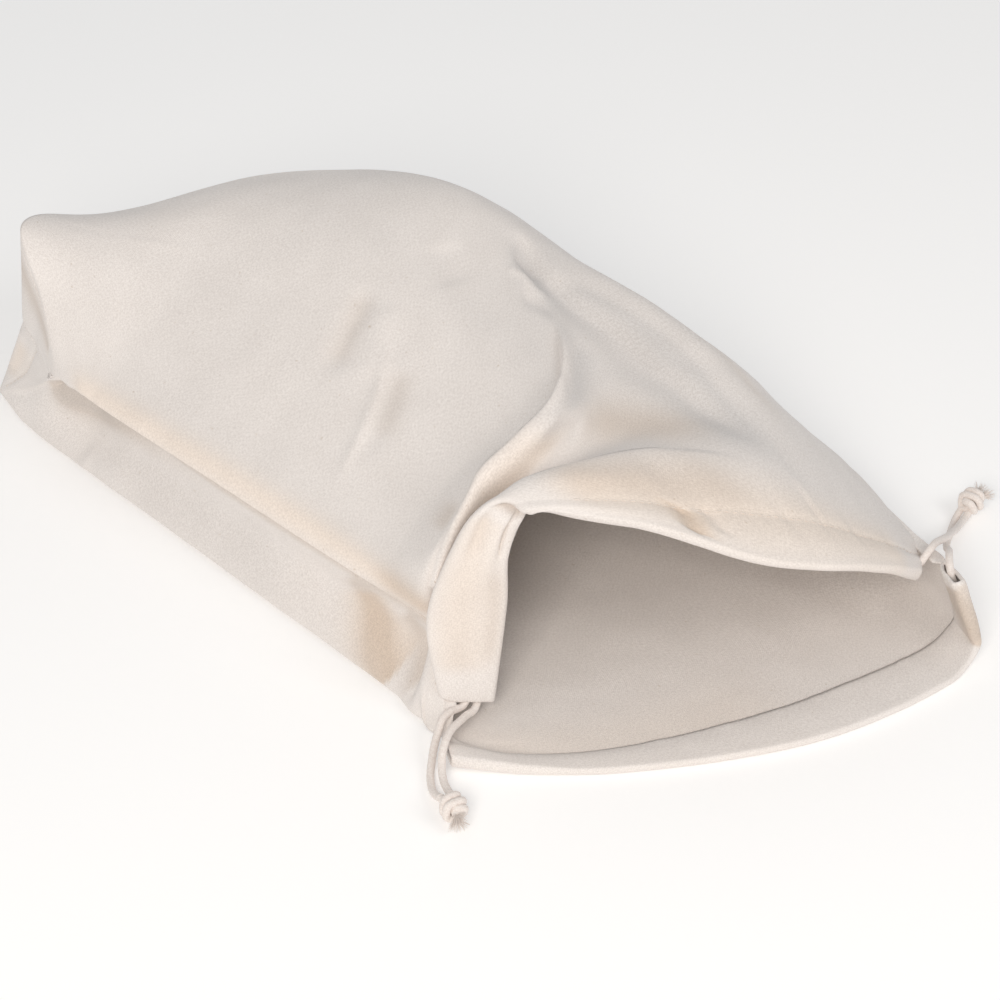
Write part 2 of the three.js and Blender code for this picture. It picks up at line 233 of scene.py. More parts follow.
def clothMaterial(name):
    finish = clothFinishes[name]
    material = bpy.data.materials.new(name)
    material.use_nodes = True
    tree = material.node_tree
    shader = tree.nodes["Principled BSDF"]
    place = tree.nodes.new("ShaderNodeUVMap")
    place.uv_map = "cut"
    weave = tree.nodes.new("ShaderNodeGroup")
    weave.node_tree = weaveTree
    tree.links.new(place.outputs[0], weave.inputs["Vector"])
    threadShade = weave.outputs["Thread shade"]
    threads = ramp(tree, threadShade, *clothLook["threadRange"])
    clouds = ramp(tree, noiseTexture(tree, place.outputs[0], clothLook["cloudScale"], 4),
                  *clothLook["cloudRange"])
    shaded = mathNode(tree, "ADD", mathNode(tree, "MULTIPLY", threads, clothLook["threadShare"]),
                      mathNode(tree, "MULTIPLY", clouds, clothLook["cloudShare"]), clamp=True)
    colour = mixColours(tree, shaded, finish["cream"], finish["shadeTone"])
    flecks = mathNode(tree, "MULTIPLY", weave.outputs["Flecks"], clothLook["fleckShare"])
    colour = mixColours(tree, flecks, colour, finish["fleckTone"])
    # the cloth carries, as attributes, painted light and shade that multiply its colour: painted warmth of
    # light bounced between folds, painted shade, cooler painted shade and painted highlights
    for label, tint in finish["paintedLightTints"].items():
        amount = tree.nodes.new("ShaderNodeAttribute")
        amount.attribute_name = label
        colour = mixColours(tree, amount.outputs["Fac"], colour, tint, "MULTIPLY")
    tree.links.new(colour, shader.inputs["Base Color"])
    tree.links.new(ramp(tree, threadShade, *clothLook["roughRange"]), shader.inputs["Roughness"])
    shader.inputs["Sheen Weight"].default_value = clothLook["sheen"]
    shader.inputs["Sheen Roughness"].default_value = clothLook["sheenRoughness"]
    shader.inputs["Specular IOR Level"].default_value = clothLook["specular"]
    relief = tree.nodes.new("ShaderNodeBump")
    relief.inputs["Strength"].default_value = finish["relief"]
    relief.inputs["Distance"].default_value = clothLook["reliefDepth"]
    tree.links.new(weave.outputs["Height"], relief.inputs["Height"])
    tree.links.new(relief.outputs[0], shader.inputs["Normal"])
    return material


bagMaterial = clothMaterial("bagCotton")
cordMaterial = clothMaterial("cordCotton")
threadMaterial = clothMaterial("sewingThread")

print("cords")

cordSizes = dict(diameter=3.4, braidPitch=5.2, braidStrands=4, braidDepth=0.055, sides=20, step=0.5)
cordRoutes = dict(
    cordNearA=dict(node="cord_near_a", points=[
        (92.4, -116.2, 16), (93.6, -118.3, 10), (93.9, -121.4, 8), (93.8, -125.3, 8.6),
        (94.2, -129.5, 10), (95.4, -134.8, 10.4), (98, -140, 8.4), (101.2, -145.7, 5.6),
        (105.4, -151.4, 3.2), (110.1, -156.9, 2), (116.1, -162, 2.6), (121.2, -164.9, 4.4),
        (125.4, -165.6, 6.2)]),
    cordNearB=dict(node="cord_near_b", points=[
        (95.9, -113.4, 12), (97.0, -115.1, 8.8), (98.6, -119.2, 7.2), (99.4, -124.5, 8.2),
        (101.4, -130.5, 10), (103.4, -137, 11.4), (106.3, -143.6, 11.4), (109.2, -148.6, 9.4),
        (112.6, -152.6, 6.2), (117.2, -156.4, 4.6), (122.3, -159.4, 5), (126.9, -161.9, 6.6)]),
    cordFarA=dict(node="cord_far_a", points=[
        (190.8, 57.7, 34.6), (192.4, 62.0, 32.4), (193.3, 65.2, 33.4), (193.5, 68.4, 36.0),
        (193.1, 72.4, 37.2), (191.4, 78, 35.6), (188.5, 88, 30.2), (184.5, 98, 23.7), (179, 109, 16.2),
        (174.5, 120, 9.5), (170.5, 129.5, 5), (168.2, 137.5, 3.6), (167.2, 144.7, 6.9)]),
    cordFarB=dict(node="cord_far_b", points=[
        (212, 65, 30), (209.8, 65.1, 34.3), (206.8, 66.8, 38.2), (202.6, 72, 38.6),
        (197.3, 80, 33), (190.5, 90, 24), (184, 99, 16.5), (177.5, 109, 9.5), (171.5, 120, 4.6),
        (166.9, 129, 2.1), (163.8, 137, 2.4), (163.3, 145, 6.9)]),
)


# even points along a smooth curve through the given ones, and the curve's length
def smoothRoute(points, step):
    dense = []
    for i in range(len(points) - 1):
        a = points[max(i - 1, 0)]
        b = points[i]
        c = points[i + 1]
        d = points[min(i + 2, len(points) - 1)]
        for k in range(24):
            u = k / 24
            dense.append(0.5 * ((2 * b) + (c - a) * u + (2 * a - 5 * b + 4 * c - d) * u ** 2
                                + (3 * b - a - 3 * c + d) * u ** 3))
    dense.append(points[-1])
    lengths = [0.0]
    for i in range(1, len(dense)):
        lengths.append(lengths[-1] + (dense[i] - dense[i - 1]).length)
    count = max(2, round(lengths[-1] / step))
    even = []
    j = 0
    for i in range(count + 1):
        want = lengths[-1] * i / count
        while j < len(dense) - 2 and lengths[j + 1] < want:
            j += 1
        part = (want - lengths[j]) / max(lengths[j + 1] - lengths[j], 1e-9)
        even.append(dense[j].lerp(dense[j + 1], min(part, 1)))
    return even, lengths[-1]


def framesAlong(route):
    frames = []
    side = None
    for i, point in enumerate(route):
        ahead = route[min(i + 1, len(route) - 1)] - route[max(i - 1, 0)]
        ahead.normalize()
        if side is None:
            side = ahead.orthogonal().normalized()
        side = (side - ahead * side.dot(ahead)).normalized()
        frames.append((point, ahead, side, ahead.cross(side)))
    return frames


# a closed tube of rings; radius can change evenly to tipRadius, and braid swells it strand by strand
def addTube(bm, route, radius, sides, uvLayer, tipRadius=None, braid=None):
    rings = []
    frames = framesAlong(route)
    travelled = 0.0
    for i, (point, ahead, side, other) in enumerate(frames):
        if i:
            travelled += (route[i] - route[i - 1]).length
        part = i / (len(frames) - 1)
        r = radius if tipRadius is None else radius + (tipRadius - radius) * part
        ring = []
        for k in range(sides):
            angle = 2 * math.pi * k / sides
            reach = r
            if braid:
                run = 2 * math.pi * travelled / (braid["braidPitch"] * mm)
                turns = braid["braidStrands"] * angle
                swell = braid["braidDepth"] * (math.sin(turns + run) * math.sin(turns - run) - 0.3)
                reach = r * (1 + swell)
            ring.append(bm.verts.new(point + (side * math.cos(angle) + other * math.sin(angle)) * reach))
        rings.append((ring, travelled))
    girth = 2 * math.pi * radius / sides
    for (ringA, startA), (ringB, startB) in zip(rings, rings[1:]):
        for k in range(sides):
            after = (k + 1) % sides
            face = bm.faces.new((ringA[k], ringA[after], ringB[after], ringB[k]))
            places = ((k, startA), (k + 1, startA), (k + 1, startB), (k, startB))
            for loop, (around, along) in zip(face.loops, places):
                loop[uvLayer].uv = (around * girth, along)
    bm.faces.new(rings[0][0][::-1])
    bm.faces.new(rings[-1][0])


def finishPiece(piece, material, node=None):
    piece.data.materials.append(material)
    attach(piece, "root")
    if node:
        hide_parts(node)
    return piece


cords = {}
for name, data in cordRoutes.items():
    points = [toFrame(point) for point in data["points"]]
    route, cordLength = smoothRoute(points, cordSizes["step"] * mm)
    cordBmesh = bmesh.new()
    cordUv = cordBmesh.loops.layers.uv.new("cut")
    addTube(cordBmesh, route, cordSizes["diameter"] / 2 * mm, cordSizes["sides"], cordUv, braid=cordSizes)
    cordObject = finishPiece(meshFromBmesh(name, cordBmesh), cordMaterial, data["node"])
    cords[name] = dict(piece=cordObject, route=route, length=cordLength, exit=tuple(points[0]))

knotTable = dict(
    knotNear=dict(node="knot_near", start=(129.1, -164.4, 7.8), towards=(16, -9, -2.6),
                  cords=("cordNearA", "cordNearB"), turn=0.15, seed=5),
    knotFar=dict(node="knot_far", start=(165.6, 139.2, 7.2), towards=(2, 18, 3),
                 cords=("cordFarA", "cordFarB"), turn=0.4, seed=11),
)
# the two strands run through the knot, wind back round themselves and leave through the middle:
# along the axis and out from it in millimetres, and turns round it
knotWay = [
    dict(at=5.8, out=0.9, turn=0.02), dict(at=8.2, out=2.6, turn=0.12),
    dict(at=8.0, out=4.0, turn=0.28), dict(at=6.6, out=4.5, turn=0.5), dict(at=4.8, out=4.7, turn=0.74),
    dict(at=3.0, out=4.4, turn=0.98), dict(at=1.3, out=3.6, turn=1.2), dict(at=1.2, out=2.2, turn=1.38),
    dict(at=3.6, out=1.2, turn=1.5), dict(at=7.5, out=1.3, turn=1.55), dict(at=11.0, out=1.7, turn=1.6),
]
knotStrand = dict(radius=1.78, startsBack=5)
tuft = dict(fibres=64, length=5.8, shortest=0.55, spread=4.6, bend=0.35, radius=0.24, tipRadius=0.05,
            rootDepth=1.2, rootSpread=(0.1, 1.3), sides=4, step=1.2, lowest=0.3)


# frayed fibres that fan out of a cut cord end
def addTuft(bm, uvLayer, tip, ahead):
    for fibre in range(tuft["fibres"]):
        angle = random.uniform(0, 2 * math.pi)
        spread = tuft["spread"] * random.uniform(0.1, 1.0)
        across = ahead.orthogonal().normalized()
        across.rotate(Matrix.Rotation(angle, 3, ahead))
        length = tuft["length"] * random.uniform(tuft["shortest"], 1.0)
        root = tip - ahead * tuft["rootDepth"] * mm + across * random.uniform(*tuft["rootSpread"]) * mm
        middle = root + (ahead * length * 0.5 + across * spread * tuft["bend"]) * mm
        end = root + (ahead * length + across * spread) * mm
        end.z = max(end.z, tuft["lowest"] * mm)
        fibreRoute = smoothRoute([root, middle, end], tuft["step"] * mm)[0]
        addTube(bm, fibreRoute, tuft["radius"] * mm, tuft["sides"], uvLayer, tipRadius=tuft["tipRadius"] * mm)


for name, data in knotTable.items():
    random.seed(data["seed"])
    start = toFrame(data["start"])
    axis = Vector(data["towards"]).normalized()
    side = axis.cross(Vector((0, 0, 1))).normalized()
    over = side.cross(axis)
    knotBmesh = bmesh.new()
    knotUv = knotBmesh.loops.layers.uv.new("cut")
    for strand, cordName in enumerate(data["cords"]):
        points = [cords[cordName]["route"][-knotStrand["startsBack"]].copy()]
        for row in knotWay:
            angle = 2 * math.pi * (data["turn"] + row["turn"] + strand / 2)
            outwards = (side * math.cos(angle) + over * math.sin(angle)) * row["out"]
            points.append(start + (axis * row["at"] + outwards) * mm)
        route = smoothRoute(points, cordSizes["step"] * mm)[0]
        addTube(knotBmesh, route, knotStrand["radius"] * mm, cordSizes["sides"], knotUv, braid=cordSizes)
        addTuft(knotBmesh, knotUv, route[-1], (route[-1] - route[-4]).normalized())
    knotObject = finishPiece(meshFromBmesh(name, knotBmesh), cordMaterial, data["node"])

print("panels")

# cutWidth counts the side seams' allowances, and cutExtra is what the casing's turn takes up
cloth = dict(thickness=0.75, step=2.0, seamRoll=0.9, allowance=7.0, edgeInset=0.1, cutWidth=326, cutExtra=9)
hem = dict(width=20.0, channel=5.9, edgeRadius=2.2, stitchGap=0.3, turnRows=10, returnRows=10)

frontStations = dict(seamA=0, flank=37, gussetEdge=75, brow=98, slope=130, crest=185, crease=212,
                     shoulder=240, seamB=310)
backStations = dict(seamA=0, edge=20, foot=42, nearFloor=75, midFloor=155, farFloor=235, farFoot=268,
                    seamB=310)
frontSections = [
    dict(name="base seam", along=0, seamA=(-181, -117, 43), flank=(-203, -108, 46),
         gussetEdge=(-224, -98, 49), slope=(-235, -45, 44), crest=(-236, 8, 34),
         shoulder=(-229, 52, 27), seamB=(-205, 80, 24)),
    dict(name="base edge", along=68, creased=True, seamA=(-175, -118, 46), flank=(-196, -107, 76),
         gussetEdge=(-219, -97, 101), slope=(-227, -46, 79), crest=(-229, 4, 56),
         shoulder=(-224, 49, 42), seamB=(-199, 83, 28)),
    dict(name="base swell", along=104, seamA=(-158, -118, 45), flank=(-172, -98, 70),
         gussetEdge=(-186, -75, 90.5), slope=(-190, -33, 96), crest=(-192, 18, 86),
         crease=(-190, 40, 75), shoulder=(-188, 61, 59), seamB=(-170, 89, 33)),
    dict(name="first section", along=145, seamA=(-140, -118, 44), flank=(-142, -91, 64),
         gussetEdge=(-144, -57, 86), slope=(-145, -10, 108), crest=(-146, 38, 102),
         crease=(-146, 57, 90), shoulder=(-146, 74, 75), seamB=(-140, 94, 36)),
    dict(name="crown section", along=215, seamA=(-70, -118, 43), flank=(-70, -89, 63),
         gussetEdge=(-70, -54, 85), slope=(-72, -4, 113), crest=(-76, 46, 119),
         crease=(-76, 68, 103), shoulder=(-76, 85, 83), seamB=(-70, 104, 40)),
    dict(name="third section", along=285, seamA=(0, -118, 42), flank=(0, -91, 61),
         gussetEdge=(1, -57, 81), slope=(-2, -8, 103), crest=(-18, 42, 104), crease=(-12, 65, 96),
         shoulder=(-8, 83, 78), seamB=(0, 107, 40)),
    dict(name="before ridge", along=325, seamA=(40, -118, 42), flank=(40, -99, 59),
         gussetEdge=(42, -69, 79), slope=(43, -23, 99), crest=(20, 34, 96), crease=(32, 60, 94),
         shoulder=(38, 82, 77), seamB=(45, 107, 39)),
    dict(name="ridge", along=352, seamA=(63, -117, 41), flank=(65, -110, 64),
         gussetEdge=(65, -82, 86), brow=(68, -61, 95), slope=(69, -38, 102), crest=(45, 26, 91),
         crease=(62, 52, 91), shoulder=(72, 77, 75), seamB=(78, 106, 37)),
    dict(name="ridge foot", along=370, seamA=(69.6, -115.7, 38.6), flank=(68, -108, 52),
         gussetEdge=(67.4, -76.6, 67), brow=(74, -54.5, 89), slope=(70, -26, 94),
         crest=(62, 17, 89.5), crease=(76, 45, 88), shoulder=(88, 70, 73),
         seamB=(97, 104.4, 35.4)),
    dict(name="cuff back", along=394, seamA=(76.6, -116.4, 32), flank=(70, -110, 50),
         gussetEdge=(69.5, -90.5, 62), brow=(77.4, -70.6, 81), slope=(83, -38, 89),
         crest=(89, 2, 88), crease=(99, 32, 84.5), shoulder=(113, 59, 71), seamB=(127, 99, 33.2)),
    dict(name="cuff crest", along=425, seamA=(86.7, -127.6, 14.6), flank=(76, -122, 47),
         gussetEdge=(77, -106, 81), brow=(84, -92, 98), slope=(99, -63, 102), crest=(120, -16, 96),
         crease=(136, 13, 87), shoulder=(151, 36, 70), seamB=(173, 82, 31)),
    dict(name="mouth edge", along=468, seamA=(102, -113, 10), flank=(95, -98, 48),
         gussetEdge=(92, -92, 78), brow=(99, -85, 95), slope=(130, -59, 93), crest=(173, -17, 72),
         crease=(185, 4, 64), shoulder=(191, 26, 54), seamB=(197, 61, 35)),
]
backSections = [
    dict(name="base seam", along=0, seamA=(-181, -117, 41), foot=(-203, -108, 44),
         nearFloor=(-224, -98, 47), midFloor=(-235, -45, 42), farFloor=(-234, 30, 28),
         farFoot=(-226, 60, 24), seamB=(-205, 80, 22)),
    dict(name="base foot", along=64, creased=True, seamA=(-178, -117, 42.4), foot=(-208, -113, 19),
         nearFloor=(-238, -108, 1), midFloor=(-238, -40, 0), farFloor=(-236, 20, 0),
         farFoot=(-228, 62, 3), seamB=(-201, 83, 23)),
    dict(name="base floor", along=77, seamA=(-171, -118, 42.6), edge=(-183, -115, 27),
         foot=(-199, -118, 4), nearFloor=(-222, -109, 0), midFloor=(-228, -40, 0),
         farFloor=(-226, 22, 0), farFoot=(-218, 68, 2), seamB=(-195, 86, 25.5)),
    dict(name="under corner", along=104, seamA=(-158, -118, 42.6), edge=(-162, -109, 26),
         foot=(-171, -120.5, 3), nearFloor=(-191, -105, 0), midFloor=(-198, -38, 0),
         farFloor=(-196, 28, 0), farFoot=(-190, 75, 4), seamB=(-170, 90, 30.6)),
    dict(name="first section", along=145, seamA=(-140, -118, 41.8), edge=(-141, -111, 24),
         foot=(-143, -122, 3), nearFloor=(-148, -96, 0), midFloor=(-150, -30, 0),
         farFloor=(-150, 40, 0), farFoot=(-148, 86, 6), seamB=(-140, 96, 33.8)),
    dict(name="second section", along=285, seamA=(0, -118, 39.8), edge=(0, -113, 22),
         foot=(0, -128, 3), nearFloor=(0, -104, 0), midFloor=(0, -30, 0), farFloor=(0, 45, 0),
         farFoot=(0, 98, 7), seamB=(0, 108, 37.6)),
    dict(name="third section", along=350, seamA=(62, -117, 38.8), edge=(61, -114, 22),
         foot=(62, -131, 3), nearFloor=(66, -108, 0), midFloor=(74, -34, 0), farFloor=(78, 42, 0),
         farFoot=(80, 97, 7), seamB=(78, 107, 34.8)),
    dict(name="gusset end", along=385, seamA=(75, -116, 32), foot=(80, -134, 2),
         nearFloor=(92, -104, 0), midFloor=(108, -34, 0), farFloor=(120, 42, 0),
         farFoot=(124, 90, 7), seamB=(112, 101, 31.6)),
    dict(name="flap", along=420, seamA=(88, -127, 12), edge=(87, -136, 1), foot=(100, -123, 0),
         nearFloor=(122, -94, 0), midFloor=(152, -22, 0), farFloor=(174, 48, 0),
         farFoot=(182, 80, 8), seamB=(174, 85, 28)),
    dict(name="casing start", along=452, seamA=(99, -138, 2), foot=(120, -124, 0),
         nearFloor=(144, -98, 0), midFloor=(180, -26, 0), farFloor=(202, 46, 0),
         farFoot=(206, 73, 9), seamB=(196, 76, 32)),
    dict(name="mouth edge", along=478, seamA=(111, -146, 1), foot=(138, -125, 0),
         nearFloor=(163, -100, 0), midFloor=(210, -30, 0), farFloor=(230, 40, 0),
         farFoot=(229, 64, 10), seamB=(217, 64, 38)),
]


def slopeAtKnot(before, after):
    average = (before + after) / 2
    limit = 2.6 * np.minimum(abs(before), abs(after))
    held = np.sign(average) * np.minimum(abs(average), limit)
    return np.where(before * after < 0, average, held)


# a smooth curve, or a sheet of curves, through points[k] at knots[k], read at places
def throughKnots(knots, points, places, creased=None):
    creased = creased or [False] * len(knots)
    knots = np.array(knots, float)
    points = np.array(points, float)
    spans = np.diff(knots)
    chords = np.diff(points, axis=0) / spans.reshape(-1, *([1] * (points.ndim - 1)))
    slopes = np.empty_like(points)
    slopes[0] = chords[0]
    slopes[-1] = chords[-1]
    slopes[1:-1] = slopeAtKnot(chords[:-1], chords[1:])
    result = []
    for place in places:
        k = int(np.clip(np.searchsorted(knots, place, side="right") - 1, 0, len(spans) - 1))
        u = (place - knots[k]) / spans[k]
        slopeIn = chords[k] if creased[k] else slopes[k]
        slopeOut = chords[k] if creased[k + 1] else slopes[k + 1]
        result.append(points[k] * (2 * u ** 3 - 3 * u ** 2 + 1)
                      + slopeIn * (u ** 3 - 2 * u ** 2 + u) * spans[k]
                      + points[k + 1] * (3 * u ** 2 - 2 * u ** 3)
                      + slopeOut * (u ** 3 - u ** 2) * spans[k])
    return np.array(result)


def panelPoints(sections, stations, alongPlaces, acrossPlaces, lowest, seamLift):
    rows = []
    for section in sections:
        names = [name for name in stations if name in section]
        lift = seamLift * (1.9 if 20 < section["along"] < 90 else 1)
        places = [Vector(section[name]) + Vector((0, 0, lift if name in ("seamA", "seamB") else 0))
                  for name in names]
        rows.append(throughKnots([stations[name] for name in names], places, acrossPlaces))
    grid = throughKnots([section["along"] for section in sections], rows, alongPlaces,
                        [section.get("creased", False) for section in sections])
    grid[:, :, 2] = np.maximum(grid[:, :, 2], lowest)
    return grid


def unitVectors(values):
    return values / np.maximum(np.linalg.norm(values, axis=-1, keepdims=True), 1e-9)


def gridNormals(grid):
    return unitVectors(np.cross(np.gradient(grid, axis=0), np.gradient(grid, axis=1)))


# averages neighbours along both ways of the cloth; the edges keep their own values
def smoothed(values, passes):
    values = values.copy()
    for _ in range(passes):
        values[1:-1] = (values[:-2] + 2 * values[1:-1] + values[2:]) / 4
        values[:, 1:-1] = (values[:, :-2] + 2 * values[:, 1:-1] + values[:, 2:]) / 4
    return values


# height of the listed ridges and troughs, and how far each leans over towards its left side
def foldRelief(folds, alongPlaces, acrossPlaces):
    along, across = np.meshgrid(alongPlaces, acrossPlaces, indexing="ij")
    relief = np.zeros_like(along)
    push = np.zeros(along.shape + (2,))
    for fold in folds:
        corners = np.array(fold["way"], float)
        spots = np.linspace(0, len(corners) - 1, 6 * len(corners))
        way = throughKnots(range(len(corners)), corners, spots)
        lengths = np.concatenate([[0], np.cumsum(np.linalg.norm(np.diff(way, axis=0), axis=1))])
        nearest = np.full_like(along, 1e9)
        travelled = np.zeros_like(along)
        leftness = np.zeros_like(along)
        leftWay = np.zeros_like(push)
        for k in range(len(way) - 1):
            a = way[k]
            d = way[k + 1] - a
            u = np.clip(((along - a[0]) * d[0] + (across - a[1]) * d[1]) / (d @ d), 0, 1)
            distance = np.hypot(along - a[0] - u * d[0], across - a[1] - u * d[1])
            closer = distance < nearest
            nearest = np.where(closer, distance, nearest)
            travelled = np.where(closer, lengths[k] + u * (lengths[k + 1] - lengths[k]), travelled)
            side = (d[0] * (across - a[1]) - d[1] * (along - a[0])) / np.linalg.norm(d)
            leftness = np.where(closer, side, leftness)
            left = np.array([-d[1], d[0]]) / np.linalg.norm(d)
            leftWay = np.where(closer[:, :, None], left, leftWay)
        part = travelled / lengths[-1]
        fadeIn, fadeOut = fold.get("fades", (0.25, 0.25))
        fade = np.clip(part / max(fadeIn, 1e-6), 0, 1) * np.clip((1 - part) / max(fadeOut, 1e-6), 0, 1)
        fade = fade * fade * (3 - 2 * fade)
        leftWidth = fold.get("leftWidth", fold["width"])
        blend = 0.5 + 0.5 * np.tanh(leftness / 0.8)
        x = nearest / (leftWidth * blend + fold["width"] * (1 - blend))
        if fold.get("crisp"):
            shape = np.exp(-2.2 * x) * np.clip(1.6 - x * 0.8, 0, 1)
        else:
            shape = np.exp(-1.8 * x * x)
        relief += fold["height"] * fade * shape
        push += leftWay * (fold.get("lean", 0) * fade * shape)[:, :, None]
    return relief, push


def unevenness(alongPlaces, acrossPlaces, size, seed):
    values = np.empty((len(alongPlaces), len(acrossPlaces)))
    for i, along in enumerate(alongPlaces):
        for j, across in enumerate(acrossPlaces):
            values[i, j] = noise.noise(Vector((along / size, across / size, seed)))
    return values


def evenPlaces(start, end, step):
    count = round((end - start) / step)
    return np.linspace(start, end, count + 1)


# rows along the cloth: spans are (from, step), each reaching to the next one's start
def spacedPlaces(start, end, spans):
    places = [start]
    for k, (begin, step) in enumerate(spans):
        until = spans[k + 1][0] if k + 1 < len(spans) else end
        places.extend(evenPlaces(max(begin, start), until, step)[1:])
    return np.array(places)


# soft ridges (+) and troughs (-) of the cloth, on the flat cut in millimetres: way is (along, across),
# width is the reach on its right side, leftWidth on its left, and lean pushes the crest to the left
frontFolds = [
    dict(name="rolled ridge", way=[(362, 28), (357, 46), (353, 66), (351, 90), (350, 112), (346, 128),
                                   (342, 142), (337, 153), (328, 162), (313, 169)],
         height=4.2, width=9, leftWidth=2.8, lean=4.4, fades=(0.02, 0.12)),
    dict(name="base inner fold", way=[(62, 12), (61, 30), (62, 68)], height=-1.1, width=1.8,
         fades=(0.2, 0.2)),
    dict(name="hollow before it", way=[(346, 30), (344, 60), (343, 90), (343, 116), (341, 136)],
         height=-1.0, width=6, leftWidth=12, fades=(0.2, 0.3)),
    dict(name="ridge tip hollow", way=[(370, 26), (366, 34), (363, 44)], height=-2.2, width=3.5,
         fades=(0.1, 0.4)),
    dict(name="long crease", way=[(256, 188), (270, 190), (294, 187), (311, 187), (333, 192), (361, 197),
                                  (376, 204), (397, 214), (416, 222)],
         height=-4.2, width=14, leftWidth=5, lean=-1.5, fades=(0.15, 0.2)),
    dict(name="far roll", way=[(262, 214), (300, 210), (335, 216), (376, 230), (414, 246)],
         height=2.4, width=14, fades=(0.3, 0.3)),
    dict(name="small crease", way=[(276, 167), (287, 173), (297, 173), (304, 181)],
         height=1.8, width=4, leftWidth=4, crisp=True, fades=(0.2, 0.2)),
    dict(name="hollow above small crease", way=[(272, 180), (285, 183), (294, 182)], height=-1.9, width=6),
    dict(name="hollow below small crease", way=[(290, 160), (304, 169), (316, 176)], height=-2.0, width=7),
    dict(name="sharp wrinkle", way=[(250, 96), (257, 84), (262, 76), (268, 62), (273, 48), (279, 29)],
         height=1.9, width=5, leftWidth=3.2, crisp=True, fades=(0.3, 0.3)),
    dict(name="dip right of it", way=[(262, 90), (270, 74), (276, 60), (282, 44)], height=-1.1, width=8),
    dict(name="upper trough", way=[(222, 110), (229, 98), (231, 84), (238, 66)], height=-2.0, width=8),
    dict(name="upper ridge", way=[(238, 108), (246, 94), (250, 84), (254, 72)], height=1.3, width=9),
    dict(name="top dent", way=[(240, 150), (250, 142), (262, 136)], height=-1.2, width=12),
    dict(name="leg trough", way=[(440, 94), (444, 84), (446, 72), (446, 58)], height=-2.6, width=7,
         leftWidth=7, fades=(0.3, 0.5)),
    dict(name="leg ridge", way=[(452, 84), (455, 74), (456, 60), (456, 40)], height=1.2, width=7,
         fades=(0.4, 0.4)),
    dict(name="mouth pinch", way=[(432, 94), (440, 96), (448, 96), (456, 95), (470, 94)], height=-6.5,
         width=4.5, leftWidth=3, fades=(0.45, 0.0)),
    dict(name="roll over the pinch", way=[(440, 106), (450, 103), (460, 101), (470, 100)], height=2.0,
         width=4, leftWidth=9, lean=-1.8, fades=(0.8, 0.0)),
    dict(name="cuff roll", way=[(428, 98), (425, 110), (423, 130), (423, 160), (424, 190), (428, 216)],
         height=2.4, width=16, leftWidth=3.2, lean=3.6, fades=(0.15, 0.35)),
    dict(name="casing line", way=[(462.5, 94), (462, 84), (463, 74), (465, 64)], height=-2.6, width=1.8,
         fades=(0.1, 0.3)),
    dict(name="cuff light band", way=[(432, 112), (434, 130), (436, 150), (436, 172)], height=1.2, width=8),
    dict(name="cuff pucker", way=[(448, 166), (456, 161), (466, 156)], height=-2.4, width=5,
         fades=(0.2, 0.2)),
    dict(name="second cuff pucker", way=[(447, 176), (455, 174), (462, 172)], height=-1.2, width=4),
]
baseStitching = [(3, 41), (14, 45), (30, 47), (46, 52), (60, 64)]
backFolds = [
    dict(name="hollow under the seam", way=[(66, 9), (84, 11), (110, 11), (150, 10), (200, 8), (250, 7)],
         height=-4.6, width=10, leftWidth=6, fades=(0.03, 0.6)),
    dict(name="wall wrinkle", way=[(112, 40), (128, 34), (150, 33), (176, 38)], height=1.8, width=8,
         fades=(0.2, 0.4)),
    dict(name="base crease", way=[(65, 8), (65, 20), (65, 42), (65, 74)], height=-0.9, width=1.8,
         fades=(0.15, 0.1)),
    dict(name="base stitching", way=baseStitching, height=-1.0, width=1.8, fades=(0.05, 0.1)),
    dict(name="hollow by the leg", way=[(352, 12), (366, 22), (376, 36)], height=-1.8, width=9),
    dict(name="flap wrinkle", way=[(452, 30), (456, 60), (458, 95)], height=1.2, width=9),
]
